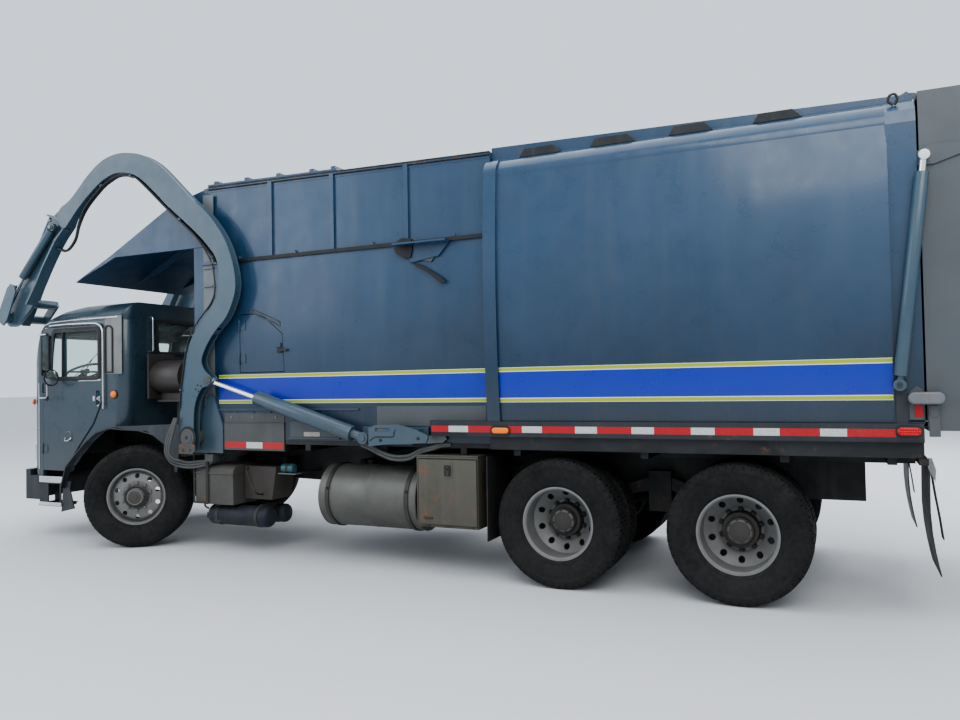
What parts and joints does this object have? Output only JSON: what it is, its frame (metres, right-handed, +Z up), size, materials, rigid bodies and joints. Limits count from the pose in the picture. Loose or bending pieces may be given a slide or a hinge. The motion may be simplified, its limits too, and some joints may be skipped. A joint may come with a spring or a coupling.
{
  "type": "front-loading refuse truck",
  "caption": "Cab-over refuse truck with front lift arms raised over the cab, ribbed hopper, wide rear body and rounded tailgate, front wheels steered left",
  "frame": {"origin": "on the ground under the middle of the whole truck, front wheels steered as modelled", "axes": "+Z is up, the truck faces -Y, its left side is +X"},
  "size_m": [2.9536, 10.38, 4.195],
  "materials": {
    "cab_paint": "satin, dusty",
    "body_paint": "satin, scuffed",
    "arm_paint": "satin, rust at the low ends",
    "frame_paint": "matt, road dirt",
    "wheel_white": "dirty gloss",
    "box_paint": "dirty, rust streaks",
    "tank_metal": "brushed, dirty",
    "rod_chrome": "polished",
    "tyre_rubber": "worn",
    "flap_rubber": "dusty",
    "window_glass": "clear, green tint",
    "seat_cloth": "woven",
    "trim_plastic": "matt",
    "lamp_plastic": "gloss"
  },
  "bodies": {
    "root": {"chassis_frame": "frame_paint", "power_train": "frame_paint", "front_bumper": "frame_paint", "cab_front_panel": "cab_paint", "cab_rear_panel": "cab_paint", "cab_roof": "cab_paint", "cab_floor": "frame_paint", "cab_glass": "window_glass", "dashboard": "trim_plastic", "seat_bases": "frame_paint", "seat_cushions": "seat_cloth", "cab_steps": "frame_paint", "front_fenders": "cab_paint", "axles": "frame_paint", "leaf_springs": "frame_paint", "tanks": "tank_metal", "side_boxes": "box_paint", "intake_and_exhaust": "frame_paint", "hopper_sides": "body_paint", "hopper_ends": "body_paint", "cab_shield": "body_paint", "body_sides": "body_paint", "body_roof": "body_paint", "body_floor": "body_paint", "arm_brackets": "arm_paint", "mud_flaps": "flap_rubber", "lamps": "lamp_plastic"},
    "knuckle_left": {"steering_knuckle_left": "frame_paint"},
    "knuckle_right": {"steering_knuckle_right": "frame_paint"},
    "wheel_front_left": {"front_tyre_left": "tyre_rubber", "front_rim_left": "wheel_white"},
    "wheel_front_right": {"front_tyre_right": "tyre_rubber", "front_rim_right": "wheel_white"},
    "wheels_rear_1_left": {"rear_tyres_1_left": "tyre_rubber", "rear_rims_1_left": "wheel_white"},
    "wheels_rear_1_right": {"rear_tyres_1_right": "tyre_rubber", "rear_rims_1_right": "wheel_white"},
    "wheels_rear_2_left": {"rear_tyres_2_left": "tyre_rubber", "rear_rims_2_left": "wheel_white"},
    "wheels_rear_2_right": {"rear_tyres_2_right": "tyre_rubber", "rear_rims_2_right": "wheel_white"},
    "door_left": {"cab_door_left": "cab_paint", "door_glass_left": "window_glass", "mirror_left": "trim_plastic"},
    "door_right": {"cab_door_right": "cab_paint", "door_glass_right": "window_glass", "mirror_right": "trim_plastic"},
    "arms": {"lift_arms": "arm_paint"},
    "forks": {"forks": "arm_paint"},
    "arm_barrels": {"lift_cylinder_barrels": "arm_paint"},
    "arm_rods": {"lift_cylinder_rods": "rod_chrome"},
    "fork_barrels": {"fork_cylinder_barrels": "arm_paint"},
    "fork_rods": {"fork_cylinder_rods": "rod_chrome"},
    "tailgate": {"tailgate": "body_paint"},
    "tailgate_barrels": {"tailgate_cylinder_barrels": "arm_paint"},
    "tailgate_rods": {"tailgate_cylinder_rods": "rod_chrome"},
    "hatch": {"hopper_hatch": "body_paint"},
    "packer": {"packer_panel": "body_paint"},
    "access_door": {"hopper_access_door": "body_paint"}
  },
  "joints": [
    {"name": "steer_left", "type": "hinge", "parent": "root", "child": "knuckle_left", "pos_m": [0.9, -3.285, 0.536], "axis": [0, 0, 1], "range_deg": [-65, 5]},
    {"name": "steer_right", "type": "hinge", "parent": "root", "child": "knuckle_right", "pos_m": [-0.9, -3.285, 0.536], "axis": [0, 0, 1], "range_deg": [-66, 6]},
    {"name": "spin_front_left", "type": "hinge", "parent": "knuckle_left", "child": "wheel_front_left", "pos_m": [1.06113, -3.18432, 0.536], "axis": [0.848, 0.5299, 0], "continuous": true},
    {"name": "spin_front_right", "type": "hinge", "parent": "knuckle_right", "child": "wheel_front_right", "pos_m": [-1.06113, -3.38568, 0.536], "axis": [0.848, 0.5299, 0], "continuous": true},
    {"name": "spin_rear_1_left", "type": "hinge", "parent": "root", "child": "wheels_rear_1_left", "pos_m": [0.93, 1.585, 0.525], "axis": [1, 0, 0], "continuous": true},
    {"name": "spin_rear_1_right", "type": "hinge", "parent": "root", "child": "wheels_rear_1_right", "pos_m": [-0.93, 1.585, 0.525], "axis": [1, 0, 0], "continuous": true},
    {"name": "spin_rear_2_left", "type": "hinge", "parent": "root", "child": "wheels_rear_2_left", "pos_m": [0.93, 2.975, 0.525], "axis": [1, 0, 0], "continuous": true},
    {"name": "spin_rear_2_right", "type": "hinge", "parent": "root", "child": "wheels_rear_2_right", "pos_m": [-0.93, 2.975, 0.525], "axis": [1, 0, 0], "continuous": true},
    {"name": "open_door_left", "type": "hinge", "parent": "root", "child": "door_left", "pos_m": [1.063, -4.735, 1.57], "axis": [0, 0, -1], "range_deg": [0, 70]},
    {"name": "open_door_right", "type": "hinge", "parent": "root", "child": "door_right", "pos_m": [-1.063, -4.735, 1.57], "axis": [0, 0, 1], "range_deg": [0, 70]},
    {"name": "swing_arms", "type": "hinge", "parent": "root", "child": "arms", "pos_m": [0, -2.298, 1.173], "axis": [1, 0, 0], "range_deg": [-54, 36]},
    {"name": "turn_forks", "type": "hinge", "parent": "arms", "child": "forks", "pos_m": [0, -5.1, 2.52], "axis": [1, 0, 0], "range_deg": [0, 92]},
    {"name": "arm_barrel_swing", "type": "hinge", "parent": "root", "child": "arm_barrels", "pos_m": [0, -0.23, 1.195], "axis": [1, 0, 0], "range_deg": [-5.32, 7.48]},
    {"name": "arm_rod_slide", "type": "slide", "parent": "arm_barrels", "child": "arm_rods", "axis": [0, -0.9577, 0.2879], "range_m": [-0.561, 0.376]},
    {"name": "fork_barrel_swing", "type": "hinge", "parent": "arms", "child": "fork_barrels", "pos_m": [0, -4.31, 3.5], "axis": [1, 0, 0], "range_deg": [-13.42, 1]},
    {"name": "fork_rod_slide", "type": "slide", "parent": "fork_barrels", "child": "fork_rods", "axis": [0, -0.6906, -0.7232], "range_m": [-0.005, 0.422]},
    {"name": "lift_tailgate", "type": "hinge", "parent": "root", "child": "tailgate", "pos_m": [0, 4.19, 3.705], "axis": [1, 0, 0], "range_deg": [0, 85]},
    {"name": "tailgate_barrel_swing", "type": "hinge", "parent": "root", "child": "tailgate_barrels", "pos_m": [0, 4.055, 1.611], "axis": [1, 0, 0], "range_deg": [-15.45, 1]},
    {"name": "tailgate_rod_slide", "type": "slide", "parent": "tailgate_barrels", "child": "tailgate_rods", "axis": [0, 0.1201, 0.9928], "range_m": [-0.005, 0.598]},
    {"name": "slide_hatch", "type": "slide", "parent": "root", "child": "hatch", "axis": [0, 0.9998, -0.0205], "range_m": [0, 1.55]},
    {"name": "push_packer", "type": "slide", "parent": "root", "child": "packer", "axis": [0, 1, 0], "range_m": [0, 3.2]},
    {"name": "open_access_door", "type": "hinge", "parent": "root", "child": "access_door", "pos_m": [1.114, -1.759, 2.08], "axis": [0, 0, -1], "range_deg": [0, 80]}
  ],
  "couplings": [
    {"joint": "steer_right", "follows": "steer_left", "ratio": 1},
    {"joint": "arm_barrel_swing", "follows": "swing_arms", "ratio": -0.12},
    {"joint": "arm_rod_slide", "follows": "swing_arms", "m_per_rad": 0.59},
    {"joint": "fork_barrel_swing", "follows": "turn_forks", "ratio": -0.135},
    {"joint": "fork_rod_slide", "follows": "turn_forks", "m_per_rad": 0.26},
    {"joint": "tailgate_barrel_swing", "follows": "lift_tailgate", "ratio": -0.17},
    {"joint": "tailgate_rod_slide", "follows": "lift_tailgate", "m_per_rad": 0.4}
  ]
}
